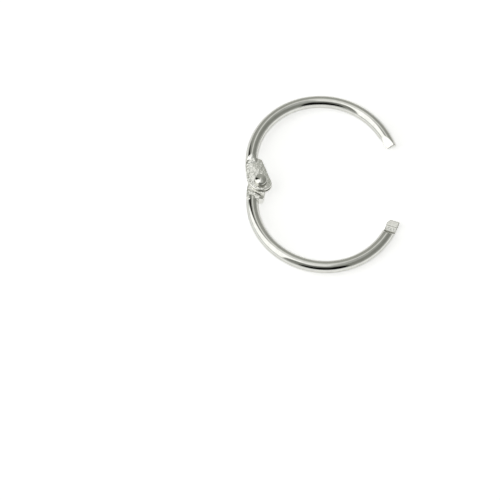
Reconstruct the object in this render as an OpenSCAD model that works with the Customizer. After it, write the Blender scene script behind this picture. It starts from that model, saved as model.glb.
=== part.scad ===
// Hinged binder ring: two half rings of bent wire, joined by a rivet and shut by a lapped latch.
//
// Each half is worked out as it lies when the ring is shut, with the rivet's axis on Z, the middle
// of the ring towards +X and the forked half towards +Y. The halves are then swung apart by the
// stored opening angle, half of it each, and set down with the ring's middle over the origin.

/* [Ring] */
// Inside diameter of the shut ring
ring_inside_d = 25.4; // [19:0.1:50]
// Diameter of the wire
wire_d = 2.4; // [2.0:0.1:3.0]
// Angle at each wire's free end that is bent to a flatter curve
flat_angle = 30; // [15:1:40]
// How much larger the bend radius is along that flatter end
flat_extra_r = 1.05; // [0:0.05:12]

/* [Opening] */
// Angle between the halves as the ring is stored, counted from shut
open_angle = 40; // [0:1:90]

/* [Hinge] */
// How far the rivet's axis lies inside the middle of the wire
hinge_inset = 0.9; // [0.6:0.05:1.2]
// How far the rivet's axis lies from the middle of the hinge, towards the tongued half
hinge_drop = 0.3; // [0:0.05:0.7]
// Length of the pressed hinge, from wire to wire
hinge_len = 9.4; // [8.4:0.1:12]
// How far the hinge's outer edge bulges out beyond the wire, in the middle
hinge_bulge = 0.2; // [0.1:0.05:0.6]
// Slope of the pressed step between the fork and its wire
fork_step_slope = 30; // [20:1:80]

/* [Fork] */
// Thickness of each of the fork's two leaves
leaf_t = 0.5; // [0.35:0.01:0.65]
// Distance from the rivet's axis to the end of a leaf
leaf_reach = 2.05; // [1.3:0.05:2.2]
// Distance from the rivet's axis to the leaf's inner corner, measured across the hinge
leaf_side = 2.05; // [1.5:0.05:2.2]
// Radius of the leaf's round end, seen from above
leaf_end_r = 2.3; // [2:0.1:10]
// Distance from the rivet's axis to the middle of that round end, measured across the hinge
leaf_end_x = 0.2; // [0:0.05:1]
// Distance from the rivet's axis to the neck's inner corner, measured across the hinge
neck_side = 1.9; // [1.5:0.05:2.0]
// Length over which the neck widens from the wire's inner side to that corner
neck_slant = 0.45; // [0.2:0.05:1]

/* [Tongue] */
// Thickness of the tongue
tongue_t = 0.56; // [0.4:0.01:0.8]
// Radius of the tongue's round end
tongue_r = 1.6; // [1.3:0.05:1.7]
// Distance from the rivet's axis to the block's inner side, measured across the hinge
block_side = 1.85; // [1.8:0.05:2.3]
// How far the block's flat faces stand proud of the wire
block_rise = 0.05; // [0.02:0.01:0.2]
// Slope of the pressed ramp from the tongue up to the block
block_slope = 62; // [40:1:80]

/* [Rivet] */
// Diameter of the rivet's shank
rivet_d = 1.3; // [1.0:0.05:1.6]
// Diameter of the rivet's heads
head_d = 2.5; // [1.9:0.05:2.6]
// Height of the rivet's domed heads
head_h = 1.1; // [0.4:0.05:1.3]
// Height of the straight rim under each dome
head_rim = 0.1; // [0.05:0.01:0.2]

/* [Latch] */
// Length over which the two tips lie on each other
lap_len = 2.6; // [2.0:0.1:4]
// Length of the tooth at the end of each tip
tooth_len = 1.25; // [0.9:0.05:1.3]
// Height of that tooth over the hollow behind it
tooth_h = 0.3; // [0.15:0.01:0.45]
// Slope of the wall between tooth and hollow
tooth_slope = 60; // [45:1:85]
// Slope of the shoulder that ends the lap
shoulder_slope = 54; // [40:1:85]
// Tilt of the bevel on the back of each tip, from the ring's plane
nose_tilt = 38; // [25:1:50]
// Direction that the bevel faces, turned from the tip's end towards the inside of the ring
nose_turn = 25; // [0:1:45]
// Distance from the ring's middle plane to the bevel, at the middle of the tip's end
nose_h = 0.55; // [0.4:0.05:0.9]

/* [Clearances] */
// Gap between the tongue and each leaf
side_gap = 0.03; // [0.02:0.01:0.08]
// Radial gap between the rivet and the tongue, which turns on it
turn_gap = 0.04; // [0.02:0.01:0.09]
// Radial gap between the rivet and the leaves, which it clamps
clamp_gap = 0.01; // [0.01:0.01:0.03]
// Gap between parts of the hinge that swing past each other
swing_gap = 0.15; // [0.08:0.01:0.2]
// Gap between each lapped tip and the ring's middle plane
lap_gap = 0.03; // [0.02:0.01:0.08]
// Gap between the end of each tip and the foot of the other's shoulder
end_gap = 0.06; // [0.03:0.01:0.15]

/* [Hidden] */
$fn = 72;

nickel = [0.76, 0.77, 0.75];
bright_nickel = [0.84, 0.85, 0.83];

wire_r = wire_d / 2;
bend_r = ring_inside_d / 2 + wire_r;
flat_r = bend_r + flat_extra_r;
flat_wire_r = wire_r - 0.01;
joint_angle = 1.5;
rivet_r = rivet_d / 2;
// More than the size of any tip or hinge part, for cuts that run right through
far = 5 * wire_d;

// Middle of the shut ring, and of the flatter curve at the free end
centre = [bend_r - hinge_inset, hinge_drop];
flat_centre = (bend_r - flat_r) * [cos(flat_angle), sin(flat_angle)];

// Half thicknesses, from the ring's middle plane
tongue_half = tongue_t / 2;
slot_half = tongue_half + side_gap;
fork_half = slot_half + leaf_t;
block_half = wire_r + block_rise;
rivet_half = fork_half + head_h;

// Where the pressed hinge gives way to round wire, at each end
fork_end_y = centre.y + hinge_len / 2;
block_end_y = centre.y - hinge_len / 2;

// Middle of the wire at both ends of the hinge, its inner side, and how far it has bent there
mid_x = centre.x - sqrt(pow(bend_r, 2) - pow(hinge_len / 2, 2));
inner_x = centre.x - sqrt(pow(ring_inside_d / 2, 2) - pow(hinge_len / 2, 2));
end_turn = asin(hinge_len / 2 / bend_r);

// The hinge's outer edge is one arc, through the wire's outer side at both ends and the bulge
outer_x = -hinge_inset - wire_r - hinge_bulge;
outer_sag = centre.x - sqrt(pow(bend_r + wire_r, 2) - pow(hinge_len / 2, 2)) - outer_x;
outer_r = (pow(hinge_len / 2, 2) + pow(outer_sag, 2)) / (2 * outer_sag);

// The bulging edge of one half swings past the slot's bottom and the block's foot of the other
slot_root_y = swing_gap - outer_x;
block_foot_y = outer_x - swing_gap;
block_top_y = block_foot_y - (block_half - tongue_half) / tan(block_slope);

// Outer corner of each tip's end, measured from the middle of the ring
tip_r = flat_r + flat_wire_r;
tip_x = flat_centre.x + sqrt(pow(tip_r, 2) - pow(lap_len / 2 + flat_centre.y, 2));

// Middle of the leaf's round end, and the angle on each side where that end gives way to a side
leaf_end_y = leaf_end_r - leaf_reach;
leaf_end_turn = 35;

// Furthest the stored ring reaches each way in X, and the middle of it all, seen from the rivet
swing = open_angle / 2;
reach_in = (centre.x + tip_x) * cos(swing) + (centre.y + lap_len / 2) * sin(swing);
reach_out = (outer_x + outer_r) * cos(swing) - centre.y * sin(swing) - outer_r;
middle = [(reach_in + reach_out) / 2, centre.y * cos(swing)];

// Draws a shape given in the Y-Z plane as a long bar along X
module along_x() {
  rotate([90, 0, 90])
    linear_extrude(4 * far, center = true)
      children();
}

// Turns a part of the forked half over, to where the tongued half has it
module turned_over() {
  translate([0, centre.y, 0])
    rotate([180, 0, 0])
      translate([0, -centre.y, 0])
        children();
}

// The wire of the forked half, from just inside the hinge to just past the latch. The flatter end
// is a hair thinner and starts inside the main bend, so that one clean face lies between them.
module bent_wire() {
  hinge_angle = 180 - asin((hinge_len / 2 - wire_r / 2) / bend_r);
  tip_angle = asin((-lap_len - flat_centre.y) / flat_r);
  translate(centre) {
    rotate([0, 0, flat_angle])
      rotate_extrude(angle = hinge_angle - flat_angle)
        translate([bend_r, 0]) circle(wire_r);
    translate(flat_centre)
      rotate([0, 0, tip_angle])
        rotate_extrude(angle = flat_angle + joint_angle - tip_angle)
          translate([flat_r, 0]) circle(flat_wire_r);
  }
}

// What is cut off the forked half's tip: all under its tooth and hollow, and all past its end
module lap_cut() {
  half_lap = lap_len / 2;
  wall_y = tooth_len - half_lap;
  shoulder_y = half_lap + end_gap;
  translate([centre.x + 2 * far, centre.y, 0])
    along_x()
      polygon([
        [-half_lap - far, -far],
        [-half_lap - far, far],
        [-half_lap, far],
        [-half_lap, lap_gap],
        [wall_y, lap_gap],
        [wall_y + tooth_h / tan(tooth_slope), lap_gap + tooth_h],
        [shoulder_y, lap_gap],
        [shoulder_y + (far + lap_gap) / tan(shoulder_slope), -far]
      ]);
}

// The bevel on the back of the forked half's tip, which faces the tip's end and the ring's inside
module nose_cut() {
  translate([centre.x + tip_x - wire_r, centre.y - lap_len / 2, nose_h])
    rotate([0, 0, -90 - nose_turn])
      rotate([0, nose_tilt, 0])
        translate([-far, -far, 0])
          cube([2 * far, 2 * far, far]);
}

// Everything inside the hinge's bulging outer edge, seen from above
module inside_outer_edge() {
  translate([outer_x + outer_r, centre.y]) circle(outer_r, $fn = 240);
}

// One leaf of the fork with the neck behind it, seen from above
module leaf_outline() {
  intersection() {
    inside_outer_edge();
    union() {
      translate([leaf_end_x, leaf_end_y]) circle(leaf_end_r, $fn = 240);
      polygon([
        [leaf_end_x - leaf_end_r * cos(leaf_end_turn), leaf_end_y - leaf_end_r * sin(leaf_end_turn)],
        [leaf_end_x + leaf_end_r * cos(leaf_end_turn), leaf_end_y - leaf_end_r * sin(leaf_end_turn)],
        [far, leaf_end_y],
        [far, 3 * far],
        [-far, 3 * far],
        [-far, far]
      ]);
    }
    polygon([
      [-far, -far],
      [-far, fork_end_y],
      [inner_x, fork_end_y],
      [neck_side, fork_end_y - neck_slant],
      [leaf_side, -leaf_reach],
      [leaf_side, -far]
    ]);
  }
}

// The tongue without its round end, and the block behind it, seen from above
module tongue_outline() {
  intersection() {
    inside_outer_edge();
    polygon([
      [-far, 0],
      [-far, block_end_y - (far + mid_x) * tan(end_turn)],
      [block_side, block_end_y + (block_side - mid_x) * tan(end_turn)],
      [block_side, block_foot_y],
      [tongue_r, -tongue_r],
      [tongue_r, 0]
    ]);
  }
}

// The neck and both leaves, with the pressed step up to the wire
module fork() {
  linear_extrude(2 * fork_half, center = true)
    leaf_outline();
}

// What the press takes off the forked half's wire, above and below the neck, square to the wire
module fork_press_cut() {
  translate([mid_x, fork_end_y, 0])
    rotate([90, 0, 90 - end_turn])
      linear_extrude(2 * far, center = true)
        for (side = [-1, 1])
          polygon([
            [-far / 2, side * fork_half],
            [0, side * fork_half],
            [(far - fork_half) / tan(fork_step_slope), side * far],
            [-far / 2, side * far]
          ]);
}

// The slot between the leaves, open all round except at its straight bottom
module fork_slot() {
  translate([-far, slot_root_y - 2 * far, -slot_half])
    cube([2 * far, 2 * far, 2 * slot_half]);
}

// The tongue and block, seen from the side: two ramps rise from the tongue to the block
module block_side_view() {
  polygon([
    [far, tongue_half],
    [block_foot_y, tongue_half],
    [block_top_y, block_half],
    [-far, block_half],
    [-far, -block_half],
    [block_top_y, -block_half],
    [block_foot_y, -tongue_half],
    [far, -tongue_half]
  ]);
}

// Sets a half, worked out as shut, at its place in the stored ring
module stored(turn) {
  translate([-middle.x, -middle.y, rivet_half])
    rotate([0, 0, turn])
      children();
}

module forked_half() {
  color(nickel)
    stored(swing)
      difference() {
        union() {
          difference() {
            bent_wire();
            fork_press_cut();
          }
          fork();
        }
        fork_slot();
        cylinder(h = 2 * far, r = rivet_r + clamp_gap, center = true);
        lap_cut();
        nose_cut();
      }
}

module tongued_half() {
  color(nickel)
    stored(-swing)
      difference() {
        union() {
          turned_over()
            difference() {
              bent_wire();
              lap_cut();
              nose_cut();
            }
          intersection() {
            linear_extrude(2 * block_half, center = true)
              tongue_outline();
            along_x() block_side_view();
          }
          cylinder(h = tongue_t, r = tongue_r, center = true);
        }
        cylinder(h = 2 * far, r = rivet_r + turn_gap, center = true);
      }
}

module hinge_rivet() {
  dome_h = head_h - head_rim;
  dome_r = (pow(head_d / 2, 2) + pow(dome_h, 2)) / (2 * dome_h);
  color(bright_nickel)
    stored(0)
      rotate_extrude() {
        square([rivet_r, fork_half]);
        translate([0, -fork_half]) square([rivet_r, fork_half]);
        for (side = [-1, 1])
          intersection() {
            translate([0, side * (rivet_half - dome_r)]) circle(dome_r, $fn = 96);
            translate([0, side * (fork_half + head_h / 2)])
              translate([0, -head_h / 2]) square([head_d / 2, head_h]);
          }
      }
}

forked_half();
tongued_half();
hinge_rivet();
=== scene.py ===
# %% [markdown]
# # A hinged binder ring in bright nickel
# This lesson builds the look of a small binder ring: two half rings of wire, a riveted hinge
# and a lapped latch. The exact model is loaded first as a fixed frame. It says where every
# piece is and how large it is, so nothing has to be fitted by eye. Blender's job is the look:
# softly rounded pressed edges, a lathe-turned rivet head, nickel plating and a studio light.

# %% Load the frame
import math
import bmesh
import bpy
import numpy as np
from mathutils import Matrix, Vector


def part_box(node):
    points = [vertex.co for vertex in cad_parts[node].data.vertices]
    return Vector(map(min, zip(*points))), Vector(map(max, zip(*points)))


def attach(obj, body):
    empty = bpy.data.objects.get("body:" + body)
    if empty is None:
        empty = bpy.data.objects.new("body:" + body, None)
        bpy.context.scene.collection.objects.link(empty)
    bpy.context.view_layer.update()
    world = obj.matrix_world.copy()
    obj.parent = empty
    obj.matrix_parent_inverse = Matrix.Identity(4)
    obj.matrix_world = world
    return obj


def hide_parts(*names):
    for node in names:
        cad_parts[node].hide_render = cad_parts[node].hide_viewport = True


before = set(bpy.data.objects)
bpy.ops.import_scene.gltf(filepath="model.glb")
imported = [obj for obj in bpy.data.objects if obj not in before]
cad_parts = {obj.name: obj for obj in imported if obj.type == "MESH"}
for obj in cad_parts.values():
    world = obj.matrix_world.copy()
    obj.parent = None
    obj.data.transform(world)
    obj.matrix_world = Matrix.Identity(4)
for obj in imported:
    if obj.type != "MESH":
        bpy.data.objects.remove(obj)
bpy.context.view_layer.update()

# %% [markdown]
# ## Where the hinge is
# Both halves were drawn as they lie when the ring is shut, around the rivet, and then swung
# apart. It is easiest to shape them in that same shut position, so this step finds the rivet's
# axis from the rivet's own box and writes two small functions that go there and back.

# %% The rivet's axis, and the way to the shut position and back
MM = 0.001
OPEN_ANGLE = math.radians(40)
rivet_low, rivet_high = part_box("hinge_rivet")
pivot = [(low + high) / 2 / MM for low, high in zip(rivet_low, rivet_high)]
turn_of = {"forked_half": OPEN_ANGLE / 2, "tongued_half": -OPEN_ANGLE / 2}


def turned(points, angle):
    """Turns an array of points about the Z axis."""
    c, s = math.cos(angle), math.sin(angle)
    x, y, z = points.T
    return np.stack([c * x - s * y, s * x + c * y, z], axis=1)


def to_shut(points, node):
    return turned(points - np.array(pivot), -turn_of[node])


def from_shut(points, node):
    return turned(points, turn_of[node]) + np.array(pivot)


print("rivet axis at", [round(v, 3) for v in pivot], "mm")

# %% [markdown]
# ## Shapes as distances
# A pressed metal edge is never sharp: the tool and the plating leave a small radius on it, and
# that radius is what catches the light. One way to get it everywhere is to describe a shape by
# a distance: a function that is negative inside the metal, zero on its surface and positive
# outside. Two shapes are joined with a smallest-of, and cut with a largest-of, and both can be
# written so that they leave a round corner of a chosen radius. That was chosen here over a
# Bevel modifier, because a bevel on a cut tube leaves pinched corners, and this leaves none.

# %% Joining and cutting with a round corner
def cut(a, b, radius):
    """What lies in both shapes, with its outer corner rounded."""
    u = np.maximum(radius + a, 0)
    v = np.maximum(radius + b, 0)
    return np.minimum(-radius, np.maximum(a, b)) + np.hypot(u, v)


def join(a, b, radius):
    """What lies in either shape, with the inner corner between them filled."""
    return -cut(-a, -b, radius)


def slope_side(y, z, y0, z0, degrees):
    """Distance above a line in the Y-Z plane that climbs towards +Y at that slope."""
    a = math.radians(degrees)
    return (z - z0) * math.cos(a) - (y - y0) * math.sin(a)


def line_side(x, y, start, end):
    """Distance to the right of a line in the X-Y plane that runs from start to end."""
    along_x, along_y = end[0] - start[0], end[1] - start[1]
    return ((x - start[0]) * along_y - (y - start[1]) * along_x) / math.hypot(along_x, along_y)


corner = cut(np.array([0.0]), np.array([0.0]), 0.1)[0]
print("a cut corner of radius 0.1 mm is rounded by", round(float(corner), 4), "mm")

# %% [markdown]
# ## The bent wire
# Each half is a length of round wire bent to the ring's curve, with a flatter stretch near its
# free end. The distance to such a wire is the distance to its middle line less the wire's
# radius. The middle line is two arcs that meet on a common tangent, so a point only has to be
# sorted to the arc on its side of the line through both arcs' centres.

# %% Sizes of the wire in millimetres, and its distance
WIRE_R = 1.2
BEND_R = 13.9
FLAT_ANGLE = math.radians(30)
FLAT_EXTRA_R = 1.05
HINGE_INSET = 0.9
CENTRE = (BEND_R - HINGE_INSET, 0.3)
HINGE_LEN = 9.4
flat_dir = (math.cos(FLAT_ANGLE), math.sin(FLAT_ANGLE))
FLAT_CENTRE = (CENTRE[0] - FLAT_EXTRA_R * flat_dir[0], CENTRE[1] - FLAT_EXTRA_R * flat_dir[1])


def arc_wire(x, y, z, cx, cy, radius):
    return np.hypot(np.hypot(x - cx, y - cy) - radius, z) - WIRE_R


def bent_wire(x, y, z):
    """The forked half's wire, from inside the hinge to the ring's middle line and beyond."""
    main = arc_wire(x, y, z, *CENTRE, BEND_R)
    flat = arc_wire(x, y, z, *FLAT_CENTRE, BEND_R + FLAT_EXTRA_R)
    on_main = flat_dir[0] * (y - CENTRE[1]) - flat_dir[1] * (x - CENTRE[0]) > 0
    wire = np.where(on_main, main, flat)
    hinge_end = np.where(x < CENTRE[0], CENTRE[1] + HINGE_LEN / 2 - WIRE_R / 2 - y, -9.0)
    return np.maximum(wire, hinge_end)


print("wire", 2 * WIRE_R, "mm thick, bent to", BEND_R, "and", BEND_R + FLAT_EXTRA_R, "mm")

# %% [markdown]
# ## The lapped tip
# At the free end half of the wire's thickness is cut away, so that the two tips lie on each
# other when the ring is shut. A tooth is left at the very end with a hollow behind it, which
# the other tip's tooth bites into, and a sloping shoulder leads back to the full wire. The
# back of the tip is bevelled towards the inside of the ring. Every face is a plane, so each is
# one plain distance. The lap leans a little about the wire, by the same amount on both tips,
# so that they still lie flat on each other.

# %% The lapped tip
HALF_LAP = 1.3
LAP_GAP = 0.03
TOOTH_LEN = 1.25
TOOTH_H = 0.3
TOOTH_SLOPE = 60
SHOULDER_SLOPE = 54
END_GAP = 0.06
NOSE_TILT = math.radians(38)
NOSE_TURN = math.radians(-90 - 58)
tip_reach = math.sqrt((BEND_R + FLAT_EXTRA_R + WIRE_R) ** 2 - (CENTRE[1] - HALF_LAP - FLAT_CENTRE[1]) ** 2)
NOSE_AT = (FLAT_CENTRE[0] + tip_reach - WIRE_R, CENTRE[1] - HALF_LAP, 0.55)
NOSE_END_Y = 2.5
LAP_LEAN = 0.07
FLOOR_DEPTH = 0.20
FLOOR_SLOPE = 6
TIP_EDGE_R = 0.07


def lapped_tip(wire, x, y, z, lean):
    """Cuts the lap, which leans by that much per millimetre of X, and the bevel into the wire."""
    y = y - CENTRE[1]
    z = z - lean * (x - NOSE_AT[0])
    wall_y = TOOTH_LEN - HALF_LAP
    foot_y = wall_y + TOOTH_H / math.tan(math.radians(TOOTH_SLOPE))
    shoulder_y = HALF_LAP + END_GAP
    above_tooth = LAP_GAP - z
    past_wall = -slope_side(y, z, wall_y, LAP_GAP, TOOTH_SLOPE)
    above_floor = -slope_side(y, z, foot_y, LAP_GAP + FLOOR_DEPTH, FLOOR_SLOPE)
    hollow = join(past_wall, above_floor, 0.03)
    kept = cut(above_tooth, hollow, TIP_EDGE_R)
    shoulder = -slope_side(y, z, shoulder_y, LAP_GAP, -SHOULDER_SLOPE)
    kept = join(kept, shoulder, 0.1)
    kept = cut(kept, -HALF_LAP - y, TIP_EDGE_R)
    kept = np.where(x > CENTRE[0], kept, -9.0)
    nx = math.sin(NOSE_TILT) * math.cos(NOSE_TURN)
    ny = math.sin(NOSE_TILT) * math.sin(NOSE_TURN)
    nz = math.cos(NOSE_TILT)
    nose = (x - NOSE_AT[0]) * nx + (y + CENTRE[1] - NOSE_AT[1]) * ny + (z - NOSE_AT[2]) * nz
    nose = np.where((x > CENTRE[0]) & (y < NOSE_END_Y), nose, -9.0)
    return cut(cut(wire, kept, TIP_EDGE_R), nose, 0.12)


print("the tips lie on each other over", 2 * HALF_LAP, "mm")

# %% [markdown]
# ## The pressed fork
# At the hinge one wire is pressed flat, which makes it wider, and split into two leaves. Seen
# from above the neck bulges outwards in one long arc, and its inner side runs nearly straight.
# The press leaves a short ramp where the flat neck climbs back to round wire, hollowed across
# to follow the wire, and the face of each leaf is very slightly crowned.

# %% The pressed fork
HINGE_BULGE = 0.2
SWING_GAP = 0.15
half_len = HINGE_LEN / 2
OUTER_X = -HINGE_INSET - WIRE_R - HINGE_BULGE
outer_sag = CENTRE[0] - math.sqrt((BEND_R + WIRE_R) ** 2 - half_len ** 2) - OUTER_X
outer_r = (half_len ** 2 + outer_sag ** 2) / (2 * outer_sag)
INNER_X = CENTRE[0] - math.sqrt((BEND_R - WIRE_R) ** 2 - half_len ** 2)
MID_X = CENTRE[0] - math.sqrt(BEND_R ** 2 - half_len ** 2)
END_TURN = math.asin(half_len / BEND_R)
LEAF_REACH = 2.05
LEAF_SIDE = 2.05
LEAF_END_R = 2.3
LEAF_END_X = 0.2
NECK_SIDE = 1.9
NECK_SLANT = 0.45
LEAF_END_TURN = 35
LEAF_T = 0.5
TONGUE_HALF = 0.28
SIDE_GAP = 0.03
SLOT_HALF = TONGUE_HALF + SIDE_GAP
FORK_HALF = SLOT_HALF + LEAF_T
FORK_END_Y = CENTRE[1] + half_len
NECK_Y = FORK_END_Y - NECK_SLANT
SLOT_ROOT_Y = SWING_GAP - OUTER_X
STEP_SLOPE = 25
PRESS_BLEND = 0.35
WIRE_EDGE_R = 0.22
LEAF_EDGE_R = 0.14
RAMP_CROWN = 0.17
RAMP_SIDE = math.sqrt(1.5)
LEAF_CROWN = 0.032
CROWN_X = -0.6
LEAF_HOLE_R = 0.66


def outer_edge(x, y):
    return np.hypot(x - OUTER_X - outer_r, y - CENTRE[1]) - outer_r


def round_end(x, y):
    """Distance outside the leaf's round end, with a straight run up to the left of it."""
    x, y = x - LEAF_END_X, y - LEAF_END_R + LEAF_REACH
    a = math.radians(LEAF_END_TURN)
    disc = np.hypot(x, y) - LEAF_END_R
    left = (x * -math.cos(a) - y * math.sin(a)) - LEAF_END_R
    return np.where((y > 0) & (x > 0), -9.0, np.where((x < 0) & (y > x * math.tan(a)), left, disc))


def forked_half(points):
    x, y, z = points.T
    wire = bent_wire(x, y, z)
    height = np.abs(z)
    along = (y - FORK_END_Y) * math.cos(END_TURN) + (x - MID_X) * math.sin(END_TURN)
    ramp = slope_side(along, height, 0.0, FORK_HALF, STEP_SLOPE)
    ramp = ramp + RAMP_CROWN * np.minimum((x - MID_X) ** 2, RAMP_SIDE ** 2)
    pressed = join(height - FORK_HALF, ramp, PRESS_BLEND)
    pressed = np.where(x < CENTRE[0], pressed, -9.0)
    wire = cut(wire, pressed, WIRE_EDGE_R)

    inner_edge = line_side(x, y, (LEAF_SIDE, -LEAF_REACH), (NECK_SIDE, NECK_Y))
    neck_edge = line_side(x, y, (NECK_SIDE, NECK_Y), (INNER_X, FORK_END_Y))
    leaf_end = round_end(x, y)
    outline = cut(outer_edge(x, y), leaf_end, 0.5)
    outline = cut(outline, cut(inner_edge, neck_edge, 0.3), 0.35)
    outline = np.maximum(outline, y - FORK_END_Y)
    faces = height - FORK_HALF + LEAF_CROWN * (x - CROWN_X) ** 2
    fork = cut(outline, faces, LEAF_EDGE_R)
    half = join(wire, fork, WIRE_EDGE_R)

    slot = np.maximum(height - SLOT_HALF, y - SLOT_ROOT_Y)
    slot = np.where(x < CENTRE[0], slot, 9.0)
    half = cut(half, -slot, 0.05)
    half = cut(half, LEAF_HOLE_R - np.hypot(x, y), 0.03)
    return lapped_tip(half, x, y, z, LAP_LEAN)


print("leaves", LEAF_T, "mm thick, stack", round(2 * FORK_HALF, 2), "mm")

# %% [markdown]
# ## The tongue and its block
# The other wire is pressed thinner still, to a round tongue that turns between the leaves.
# The metal that the press pushes back piles up in a short square block, and the leaves' ends
# swing through the hollow in front of it. The tip at this wire's far end is the same as the
# fork's, turned over, so the same function draws it.

# %% The tongue and its block
BLOCK_HALF = 1.25
BLOCK_SIDE = 1.85
BLOCK_FOOT_Y = OUTER_X - SWING_GAP
BLOCK_END_Y = CENTRE[1] - half_len
BLOCK_SLOPE = 62
BLOCK_BLEND = 0.2
BLOCK_SKEW = 0.26
BLOCK_CROWN = 0.02
BLOCK_LEAN = 0.06
BLOCK_FALL = 0.35
TONGUE_R = 1.6
TONGUE_HOLE_R = 0.69


def tongued_half(points):
    x, y, z = points.T
    over_y = 2 * CENTRE[1] - y
    wire = lapped_tip(bent_wire(x, over_y, -z), x, over_y, -z, -LAP_LEAN)

    height = np.abs(z)
    waist = line_side(x, y, (BLOCK_SIDE, BLOCK_FOOT_Y), (TONGUE_R, -TONGUE_R))
    sides = cut(x - BLOCK_SIDE, waist, 0.3)
    past_end = (BLOCK_END_Y - y) * math.cos(END_TURN) + (x - MID_X) * math.sin(END_TURN)
    outline = cut(cut(outer_edge(x, y), sides, 0.12), past_end, 0.1)
    foot = BLOCK_FOOT_Y - BLOCK_SKEW * np.maximum(0, x + 0.3)
    ramp = slope_side(foot - y, height, 0.0, TONGUE_HALF, BLOCK_SLOPE)
    crown = height - BLOCK_HALF + BLOCK_CROWN * np.maximum(0, 0.8 - x) ** 2
    crown = crown + BLOCK_FALL * np.maximum(0, x - 0.8) ** 2 + BLOCK_LEAN * np.maximum(0, foot - y)
    block = cut(ramp, crown, 0.1)
    thickness = join(height - TONGUE_HALF, block, BLOCK_BLEND)
    body = cut(outline, thickness, 0.12)
    body = cut(body, y, 0.05)
    disc = np.maximum(np.hypot(x, y) - TONGUE_R, height - TONGUE_HALF)
    body = np.minimum(body, disc)
    half = join(wire, body, 0.1)
    return cut(half, TONGUE_HOLE_R - np.hypot(x, y), 0.02)


print("tongue", 2 * TONGUE_HALF, "mm thick, block", 2 * BLOCK_HALF, "mm")

# %% [markdown]
# ## From distance to mesh
# A mesh is made from the frame's own solid. A copy of it is remeshed into small even squares,
# which gives clean faces but steps and dull corners. Then every vertex is moved along the
# distance's slope until the distance is zero, and in between each vertex is eased towards its
# neighbours, which keeps the squares even. A few rounds leave a mesh that lies exactly on the
# rounded shape. The remesh works in millimetres, because its smallest step is too coarse for
# a piece this small in metres.

# %% Remesh a copy of a solid and snap it to its rounded shape
VOXEL_MM = 0.08
WAVES = 40
WAVE_LENGTHS = (0.35, 0.9)
PRESS_DEPTH = 0.013
TIP_WORKED = 0.3


def slope_of(shape, points, step=0.002):
    columns = []
    for axis in range(3):
        shift = np.zeros(3)
        shift[axis] = step
        columns.append((shape(points + shift) - shape(points - shift)) / (2 * step))
    return np.stack(columns, axis=1)


def snapped(points, shape, times):
    for _ in range(times):
        slope = slope_of(shape, points)
        size = np.maximum((slope ** 2).sum(axis=1), 0.05)
        move = shape(points) / size
        points = points - slope * np.clip(move, -0.1, 0.1)[:, None]
    return points


def eased(points, edges):
    total = np.zeros_like(points)
    count = np.zeros(len(points))
    for a, b in ((0, 1), (1, 0)):
        np.add.at(total, edges[:, a], points[edges[:, b]])
        np.add.at(count, edges[:, a], 1)
    return points + 0.5 * (total / count[:, None] - points)


def press_waves(points, seed):
    """A gentle, even unevenness between about -1 and 1, from a sum of seeded waves."""
    draw = np.random.default_rng(seed)
    total = np.zeros(len(points))
    for _ in range(WAVES):
        aim_at = draw.normal(size=3)
        aim_at = aim_at / np.linalg.norm(aim_at)
        length = draw.uniform(*WAVE_LENGTHS)
        total += np.sin(points @ aim_at * (2 * math.pi / length) + draw.uniform(0, 2 * math.pi))
    return total / math.sqrt(WAVES)


def rounded_piece(name, node, shape):
    """A new object: the node's solid, remeshed finely and snapped to the rounded shape."""
    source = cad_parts[node]
    mesh = source.data.copy()
    mesh.transform(Matrix.Scale(1 / MM, 4))
    piece = bpy.data.objects.new(name, mesh)
    bpy.context.scene.collection.objects.link(piece)
    remesh = piece.modifiers.new("small squares", "REMESH")
    remesh.mode = "VOXEL"
    remesh.voxel_size = VOXEL_MM
    remesh.use_smooth_shade = True
    graph = bpy.context.evaluated_depsgraph_get()
    fine = bpy.data.meshes.new_from_object(piece.evaluated_get(graph))
    piece.modifiers.clear()
    piece.data = fine
    fine.name = name
    fine.materials.clear()

    points = np.empty(3 * len(fine.vertices))
    fine.vertices.foreach_get("co", points)
    points = to_shut(points.reshape(-1, 3), node)
    edges = np.empty(2 * len(fine.edges), dtype=np.int64)
    fine.edges.foreach_get("vertices", edges)
    edges = edges.reshape(-1, 2)
    for _ in range(3):
        points = snapped(points, shape, 2)
        points = eased(points, edges)
    points = snapped(points, shape, 4)
    left = np.abs(shape(points))
    print(name, len(fine.polygons), "faces, furthest from its shape", round(float(left.max()), 4), "mm")

    x, y, z = points.T
    over = (x, y, z) if node == "forked_half" else (x, 2 * CENTRE[1] - y, -z)
    off_wire = np.abs(bent_wire(*over))
    worked = np.clip((off_wire - 0.01) / 0.06, 0, 1) * np.where(x > CENTRE[0], TIP_WORKED, 1.0)
    slope = slope_of(shape, points)
    slope = slope / np.linalg.norm(slope, axis=1)[:, None]
    depth = PRESS_DEPTH * worked * (press_waves(points, 11 if node == "forked_half" else 12) - 1.5)
    points = points + slope * depth[:, None]
    mark = fine.attributes.new("worked", "FLOAT", "POINT")
    mark.data.foreach_set("value", worked)
    fine.vertices.foreach_set("co", (from_shut(points, node) * MM).ravel())
    fine.update()
    return piece


fork_piece = rounded_piece("forked_half_ring", "forked_half", forked_half)
tongue_piece = rounded_piece("tongued_half_ring", "tongued_half", tongued_half)

# %% [markdown]
# ## The rivet
# The rivet is a soft steel pin whose ends are set into domes by a spinning punch. A lathe makes
# the shape: one outline is turned round the axis. The outline here is a steep side with a
# round corner under a low dome, and the shank joins the two heads. Setting a rivet is
# never quite even, so the dome gets a few shallow dents from a seeded set of random numbers.

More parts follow.
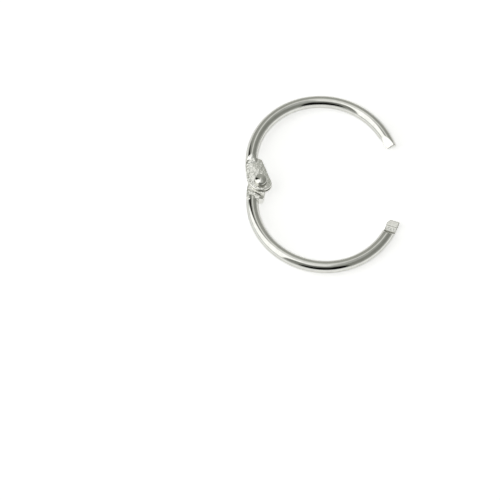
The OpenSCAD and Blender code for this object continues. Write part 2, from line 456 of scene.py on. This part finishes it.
# %% Turn the rivet on a lathe
HEAD_R = 1.25
HEAD_H = 1.1
FOOT_R = 1.25
FOOT_H = 0.07
SIDE_H = 0.55
SIDE_TAPER = 0.03
CORNER_R = 0.28
EDGE_SLOPE = math.radians(29)
SHANK_R = 0.65
TURNS = 96
dents = np.random.default_rng(7)
dent_list = [(dents.uniform(0, 2 * math.pi), dents.uniform(0.25, 0.9), dents.uniform(0.12, 0.3),
              dents.uniform(0.004, 0.012)) for _ in range(16)]


def head_outline():
    """Radius and height of points from the foot's edge on the leaf up to the top of the dome."""
    points = [(SHANK_R, 0.0), (FOOT_R - 0.06, 0.0), (FOOT_R - 0.02, 0.02), (FOOT_R, FOOT_H)]
    side_r = HEAD_R - SIDE_TAPER
    points.append(((FOOT_R + side_r) / 2, (FOOT_H + SIDE_H) / 2))
    turn = math.pi / 2 - EDGE_SLOPE
    for i in range(7):
        a = turn * i / 6
        points.append((side_r - CORNER_R * (1 - math.cos(a)), SIDE_H + CORNER_R * math.sin(a)))
    edge_r, edge_h = points[-1]
    for i in range(1, 15):
        t = i / 15
        r = edge_r * (1 - t)
        points.append((r, HEAD_H - (HEAD_H - edge_h) * (r / edge_r) ** 2))
    points.append((0.0, HEAD_H))
    return points


def dented(r, angle, height):
    """How far the dome is pushed in there."""
    x, y = r * math.cos(angle), r * math.sin(angle)
    push = 0.0
    for where, out, size, depth in dent_list:
        gap = math.hypot(x - out * math.cos(where), y - out * math.sin(where))
        push += depth * math.exp(-(gap / size) ** 2)
    return push if height > 0.2 else 0.0


def lathe_rivet():
    upper = [(r, FORK_HALF + h) for r, h in head_outline()]
    outline = [(r, -h) for r, h in reversed(upper)] + upper
    shape = bmesh.new()
    rings = []
    for r, h in outline:
        if r == 0:
            rings.append([shape.verts.new((pivot[0], pivot[1], pivot[2] + h))])
            continue
        ring = []
        for k in range(TURNS):
            a = 2 * math.pi * k / TURNS
            push = dented(r, a + (0.9 if h < 0 else 0), abs(h) - FORK_HALF)
            rr = r * (1 - push / HEAD_R)
            hh = h - math.copysign(push, h)
            ring.append(shape.verts.new((pivot[0] + rr * math.cos(a), pivot[1] + rr * math.sin(a),
                                         pivot[2] + hh)))
        rings.append(ring)
    for low, high in zip(rings, rings[1:]):
        for k in range(TURNS):
            n = (k + 1) % TURNS
            if len(low) == 1:
                shape.faces.new((low[0], high[n], high[k]))
            elif len(high) == 1:
                shape.faces.new((low[k], low[n], high[0]))
            else:
                shape.faces.new((low[k], low[n], high[n], high[k]))
    bmesh.ops.recalc_face_normals(shape, faces=shape.faces)
    bmesh.ops.scale(shape, vec=(MM, MM, MM), verts=shape.verts)
    mesh = bpy.data.meshes.new("rivet")
    shape.to_mesh(mesh)
    shape.free()
    for face in mesh.polygons:
        face.use_smooth = True
    piece = bpy.data.objects.new("rivet", mesh)
    bpy.context.scene.collection.objects.link(piece)
    return piece


rivet_piece = lathe_rivet()
print("rivet", len(rivet_piece.data.polygons), "faces, box in mm",
      [round(1000 * v, 3) for v in rivet_piece.dimensions])

# %% [markdown]
# ## Bright nickel
# Nickel plate is a slightly warm grey mirror. On drawn wire it has very fine lines along the
# wire and a faint ripple, and where the press has worked it the surface is duller and
# mottled. Both looks come from one recipe with a dial: the mark stored on each vertex above
# says how far a place lies off the drawn wire, and it turns up the roughness and the bump.

# %% Mix the nickel
PATCH_SHADE = 0.86


def nickel(name, colour, worked_colour, base_rough, worked_rough, dull):
    finish = bpy.data.materials.new(name)
    finish.use_nodes = True
    nodes, links = finish.node_tree.nodes, finish.node_tree.links
    shader = nodes["Principled BSDF"]
    shader.inputs["Metallic"].default_value = 1.0
    shader.inputs["Specular Tint"].default_value = (0.60, 0.60, 0.58, 1)
    place = nodes.new("ShaderNodeTexCoord")
    mark = nodes.new("ShaderNodeAttribute")
    mark.attribute_name = "worked"

    def noise(scale, detail, rough=0.5):
        n = nodes.new("ShaderNodeTexNoise")
        n.inputs["Scale"].default_value = scale
        n.inputs["Detail"].default_value = detail
        n.inputs["Roughness"].default_value = rough
        links.new(place.outputs["Object"], n.inputs["Vector"])
        return n.outputs["Fac"]

    def between(fac, low, high, from_low=0.3, from_high=0.7):
        m = nodes.new("ShaderNodeMapRange")
        m.inputs["From Min"].default_value = from_low
        m.inputs["From Max"].default_value = from_high
        m.inputs["To Min"].default_value = low
        m.inputs["To Max"].default_value = high
        links.new(fac, m.inputs["Value"])
        return m.outputs["Result"]

    def maths(kind, a, b):
        m = nodes.new("ShaderNodeMath")
        m.operation = kind
        for socket, value in zip(m.inputs, (a, b)):
            if isinstance(value, (int, float)):
                socket.default_value = value
            else:
                links.new(value, socket)
        return m.outputs["Value"]

    mottle = noise(900, 3, 0.6)
    fine = noise(6000, 2)
    ripple = noise(350, 1)
    patches = noise(2600, 2, 0.6)
    rough = maths("ADD", between(mottle, base_rough * 0.7, base_rough * 1.3),
                  maths("MULTIPLY", mark.outputs["Fac"], between(patches, worked_rough * 0.6, worked_rough)))
    links.new(rough, shader.inputs["Roughness"])

    def blend(fac, under, over):
        m = nodes.new("ShaderNodeMix")
        m.data_type = "RGBA"
        links.new(fac, m.inputs["Factor"])
        for socket, value in ((m.inputs["A"], under), (m.inputs["B"], over)):
            if isinstance(value, tuple):
                socket.default_value = (*value, 1)
            else:
                links.new(value, socket)
        return m.outputs["Result"]

    drawn = blend(between(mottle, 0, 1, 0.42, 0.68), colour, tuple(c * dull for c in colour))
    darker = tuple(c * PATCH_SHADE for c in worked_colour)
    pressed = blend(between(patches, 0, 1, 0.35, 0.65), worked_colour, darker)
    links.new(blend(mark.outputs["Fac"], drawn, pressed), shader.inputs["Base Color"])

    height = maths("ADD", maths("MULTIPLY", ripple, 0.6), maths("MULTIPLY", fine, 0.02))
    height = maths("ADD", height, maths("MULTIPLY", mark.outputs["Fac"], maths("MULTIPLY", mottle, 1.2)))
    bump = nodes.new("ShaderNodeBump")
    bump.inputs["Strength"].default_value = 1.0
    bump.inputs["Distance"].default_value = 0.00001
    links.new(height, bump.inputs["Height"])
    links.new(bump.outputs["Normal"], shader.inputs["Normal"])
    return finish


wire_nickel = nickel("bright_nickel_wire", (0.70, 0.70, 0.668), (0.95, 0.95, 0.91), 0.045, 0.15, 0.93)
rivet_nickel = nickel("bright_nickel_rivet", (0.74, 0.74, 0.70), (0.74, 0.74, 0.70), 0.09, 0.12, 0.92)

for piece, body, node, slot_name, finish in (
        (fork_piece, "forked_body", "forked_half", "plated_wire", wire_nickel),
        (tongue_piece, "tongued_body", "tongued_half", "plated_wire", wire_nickel),
        (rivet_piece, "forked_body", "hinge_rivet", "plated_rivet", rivet_nickel)):
    piece.data.materials.append(finish)
    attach(piece, body)
    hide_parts(node)
    print(piece.name, "rides on", body)

# %% [markdown]
# ## How the ring lies
# The rivet's heads stand proud of the wire, so on a table the ring lies a little tilted: it
# touches at the lower head and near its two tips. The way to find that resting plane is the
# convex hull, the skin that a tight wrapping would have: a thing rests on the face of its hull
# that lies straight under its balance point. The ring itself stays where it is, and the table
# is laid against it.

# %% Find the resting plane and lay the table there
def all_points(objects):
    rows = []
    for item in objects:
        values = np.empty(3 * len(item.data.vertices))
        item.data.vertices.foreach_get("co", values)
        rows.append(values.reshape(-1, 3))
    return np.concatenate(rows)


balance = Vector(all_points([fork_piece, tongue_piece]).mean(axis=0))
wrap = bmesh.new()
for point in all_points(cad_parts.values()):
    wrap.verts.new(point)
hull = bmesh.ops.convex_hull(wrap, input=wrap.verts)
resting_face = None
for face in [part for part in hull["geom"] if isinstance(part, bmesh.types.BMFace)]:
    face.normal_update()
    if face.normal.z > -0.9:
        continue
    flat = [Vector(v.co.xy) for v in face.verts]
    a, b, c = flat[0], flat[1], flat[2]
    sides = [(q - p).cross(balance.xy - p) for p, q in ((a, b), (b, c), (c, a))]
    if all(side >= 0 for side in sides) or all(side <= 0 for side in sides):
        resting_face = face
up = -resting_face.normal.copy()
touch = resting_face.verts[0].co.copy()
print("rests at", [[round(1000 * v, 2) for v in vert.co] for vert in resting_face.verts])
print("tilt", round(math.degrees(up.angle(Vector((0, 0, 1)))), 2), "degrees")
wrap.free()

YAW = math.radians(0.36)
ahead = Vector((math.cos(YAW), math.sin(YAW), 0))
table_x = (ahead - up * ahead.dot(up)).normalized()
table_y = up.cross(table_x)
pivot_m = Vector(pivot) * MM
foot = pivot_m - up * (pivot_m - touch).dot(up)


def on_table(x, y, z):
    """A point given in metres along the table from under the rivet, and up from it."""
    return foot + table_x * x + table_y * y + up * z


TABLE_HALF = 0.8
table_mesh = bmesh.new()
corner_signs = ((-1, -1), (1, -1), (1, 1), (-1, 1))
corners = [table_mesh.verts.new(on_table(x * TABLE_HALF, y * TABLE_HALF, 0)) for x, y in corner_signs]
table_mesh.faces.new(corners)
table_data = bpy.data.meshes.new("table")
table_mesh.to_mesh(table_data)
table_mesh.free()
table = bpy.data.objects.new("table", table_data)
bpy.context.scene.collection.objects.link(table)

# %% [markdown]
# ## A white table that keeps its shadows
# A product picture has a pure white ground, but more light on the scene would burn out the
# metal. So the table is plain white paper, and only for rays from the camera and for the
# metal's reflections a little glow is added. The shadow stays, because the glow is added to
# the lit paper and doesn't replace it.

# %% White table
TABLE_GLOW = 0.56
paper = bpy.data.materials.new("white_table")
paper.use_nodes = True
nodes, links = paper.node_tree.nodes, paper.node_tree.links
nodes.clear()
rays = nodes.new("ShaderNodeLightPath")
seen = nodes.new("ShaderNodeMath")
seen.operation = "MAXIMUM"
links.new(rays.outputs["Is Camera Ray"], seen.inputs[0])
links.new(rays.outputs["Is Glossy Ray"], seen.inputs[1])
seen_too = nodes.new("ShaderNodeMath")
seen_too.operation = "MAXIMUM"
links.new(seen.outputs[0], seen_too.inputs[0])
links.new(rays.outputs["Is Transmission Ray"], seen_too.inputs[1])
glow_level = nodes.new("ShaderNodeMath")
glow_level.operation = "MULTIPLY"
links.new(seen_too.outputs[0], glow_level.inputs[0])
glow_level.inputs[1].default_value = TABLE_GLOW
white = nodes.new("ShaderNodeBsdfDiffuse")
white.inputs["Color"].default_value = (0.85, 0.85, 0.85, 1)
glow = nodes.new("ShaderNodeEmission")
links.new(glow_level.outputs[0], glow.inputs["Strength"])
both = nodes.new("ShaderNodeAddShader")
links.new(white.outputs[0], both.inputs[0])
links.new(glow.outputs[0], both.inputs[1])
surface = nodes.new("ShaderNodeOutputMaterial")
links.new(both.outputs[0], surface.inputs["Surface"])
table_data.materials.append(paper)
print("table", 2 * TABLE_HALF, "m wide")

# %% [markdown]
# ## What the metal sees
# A mirror has no look of its own: it shows the room. Bright nickel reads as metal only if the
# room has light and dark in it, in plain large shapes. This room is the usual one for small
# bright things: grey walls, a tall white light box on the left that reaches over the table,
# a narrow black card beside it, a pale doorway at the back, and a dark figure with a raised arm
# in front. The box draws the broad white bands, the card draws a thin line beside them, the
# figure draws the black band, and the doorway lights the flat faces that look straight up. It
# is all worked out from the direction of a ray, in two angles: how far round from the front,
# and how high.

# %% The room: angles of a ray
room = bpy.data.worlds.new("room")
bpy.context.scene.world = room
room.use_nodes = True
nodes, links = room.node_tree.nodes, room.node_tree.links
nodes.clear()
direction = nodes.new("ShaderNodeTexCoord")
parts = nodes.new("ShaderNodeSeparateXYZ")
links.new(direction.outputs["Generated"], parts.inputs[0])


def plug(socket, value):
    if isinstance(value, (int, float, tuple)):
        socket.default_value = value
    else:
        links.new(value, socket)


def sky_maths(kind, a, b=0.0):
    m = nodes.new("ShaderNodeMath")
    m.operation = kind
    plug(m.inputs[0], a)
    plug(m.inputs[1], b)
    return m.outputs["Value"]


def step_between(value, low, high):
    m = nodes.new("ShaderNodeMapRange")
    m.interpolation_type = "SMOOTHSTEP"
    m.inputs["From Min"].default_value = low
    m.inputs["From Max"].default_value = high
    links.new(value, m.inputs["Value"])
    return m.outputs["Result"]


def band(value, low, high, soft):
    """One between low and high, and zero outside, with soft edges."""
    return sky_maths("MULTIPLY", step_between(value, low - soft, low + soft),
                     step_between(value, high + soft, high - soft))


def painted(fac, under, over):
    m = nodes.new("ShaderNodeMix")
    m.data_type = "RGBA"
    links.new(fac, m.inputs["Factor"])
    plug(m.inputs["A"], under)
    plug(m.inputs["B"], over)
    return m.outputs["Result"]


to_degrees = 180 / math.pi
front = sky_maths("MULTIPLY", parts.outputs["Y"], -1.0)
round_angle = sky_maths("MULTIPLY", sky_maths("ARCTAN2", parts.outputs["X"], front), to_degrees)
up_angle = sky_maths("MULTIPLY", sky_maths("ARCSINE", parts.outputs["Z"]), to_degrees)
print("angles in degrees: 0 is the front, 90 the right, and 90 up is overhead")

# %% [markdown]
# ## Walls, box, card, doorway and figure
# Each thing in the room is a patch between two angles round and two angles up, or an oval for
# the figure. The patches are painted over each other in order, from the walls to the figure.
# Their edges are soft, because a large light seen in small round wire never has a hard one.

# %% The room: walls, light box, card and figure
WALL = (0.288, 0.294, 0.268, 1)
WALL_BACK = (0.438, 0.445, 0.410, 1)
WALL_LOW = (0.80, 0.81, 0.785, 1)
WALL_HIGH = (0.520, 0.528, 0.508, 1)
WAIST = (0.17, 0.175, 0.16, 1)
DOORWAY = (0.93, 0.93, 0.90, 1)
BOX_LIGHT = (1.45, 1.45, 1.43, 1)
OVERHEAD = (1.02, 1.02, 1.00, 1)
CARD = (0.015, 0.015, 0.013, 1)
FIGURE = (0.003, 0.003, 0.003, 1)

BOX_SIDES = (-113.5, -46.0)
CARD_SIDES = (-136.0, -117.5)
CARD_HEIGHTS = (18.0, 58.0)
DOORWAY_HEIGHTS = (54.0, 90.0)
WAIST_OVAL = (3.0, 44.0, 31.0, 24.0)
BODY_OVAL = (3.0, 27.0, 31.0, 18.5)
ARM_OVAL = (23.0, 42.0, 10.0, 11.0)


def oval(az, el, half_az, half_el):
    """Distance from the middle of an oval in the two angles, one at its edge."""
    aside = sky_maths("DIVIDE", sky_maths("SUBTRACT", round_angle, az), half_az)
    above = sky_maths("DIVIDE", sky_maths("SUBTRACT", up_angle, el), half_el)
    return sky_maths("SQRT", sky_maths("ADD", sky_maths("MULTIPLY", aside, aside),
                                       sky_maths("MULTIPLY", above, above)))


behind = step_between(sky_maths("ABSOLUTE", round_angle), 115.0, 168.0)
walls = painted(behind, WALL, WALL_BACK)
low = sky_maths("MULTIPLY", step_between(up_angle, 32.0, -6.0), sky_maths("SUBTRACT", 1.0, behind))
walls = painted(low, walls, WALL_LOW)
walls = painted(step_between(up_angle, 58.0, 76.0), walls, WALL_HIGH)

reach = band(parts.outputs["X"], -2.0, 0.11, 0.04)
overhead = sky_maths("MULTIPLY", step_between(up_angle, 66.0, 76.0), reach)
from_back = sky_maths("SUBTRACT", 180.0, sky_maths("ABSOLUTE", round_angle))
doorway = sky_maths("MULTIPLY", step_between(from_back, 19.0, 9.0), band(up_angle, *DOORWAY_HEIGHTS, 8.0))
walls = painted(doorway, walls, DOORWAY)
sky = painted(overhead, walls, OVERHEAD)
box_sides = band(round_angle, *BOX_SIDES, 2.5)
box = sky_maths("MULTIPLY", box_sides, step_between(up_angle, 3.0, 13.0))
sky = painted(box, sky, BOX_LIGHT)
card = sky_maths("MULTIPLY", band(round_angle, *CARD_SIDES, 2.0), band(up_angle, *CARD_HEIGHTS, 5.0))
sky = painted(card, sky, CARD)
sky = painted(step_between(oval(*WAIST_OVAL), 1.05, 0.75), sky, WAIST)
sky = painted(step_between(oval(*BODY_OVAL), 1.10, 0.86), sky, FIGURE)
sky = painted(step_between(oval(*ARM_OVAL), 1.20, 0.80), sky, FIGURE)

light = nodes.new("ShaderNodeBackground")
links.new(sky, light.inputs["Color"])
world_out = nodes.new("ShaderNodeOutputWorld")
links.new(light.outputs[0], world_out.inputs["Surface"])
print("room:", len(nodes), "nodes")

# %% [markdown]
# ## The camera
# The picture is taken from a little above, looking down at the table at about 64 degrees,
# with a long lens that keeps the ring's shape true. The ring lies up and to the right of the
# middle of the frame, so the camera looks at a point on the table in front of the hinge.

# %% The camera
ELEVATION = math.radians(63.6)
DISTANCE = 0.4
LENS = 148.87
aim = on_table(-0.002076, -0.013716, 0)
toward = -table_y * math.cos(ELEVATION) + up * math.sin(ELEVATION)
camera_up = table_y * math.sin(ELEVATION) + up * math.cos(ELEVATION)
lens = bpy.data.cameras.new("camera")
lens.lens = LENS
lens.sensor_width = 36
lens.clip_start = 0.01
lens.clip_end = 20
camera = bpy.data.objects.new("camera", lens)
bpy.context.scene.collection.objects.link(camera)
place = Matrix((table_x, camera_up, toward)).transposed().to_4x4()
place.translation = aim + toward * DISTANCE
camera.matrix_world = place
bpy.context.scene.camera = camera
bpy.context.scene.view_settings.view_transform = "Standard"
print("camera", round(DISTANCE, 3), "m away, lens", LENS, "mm")
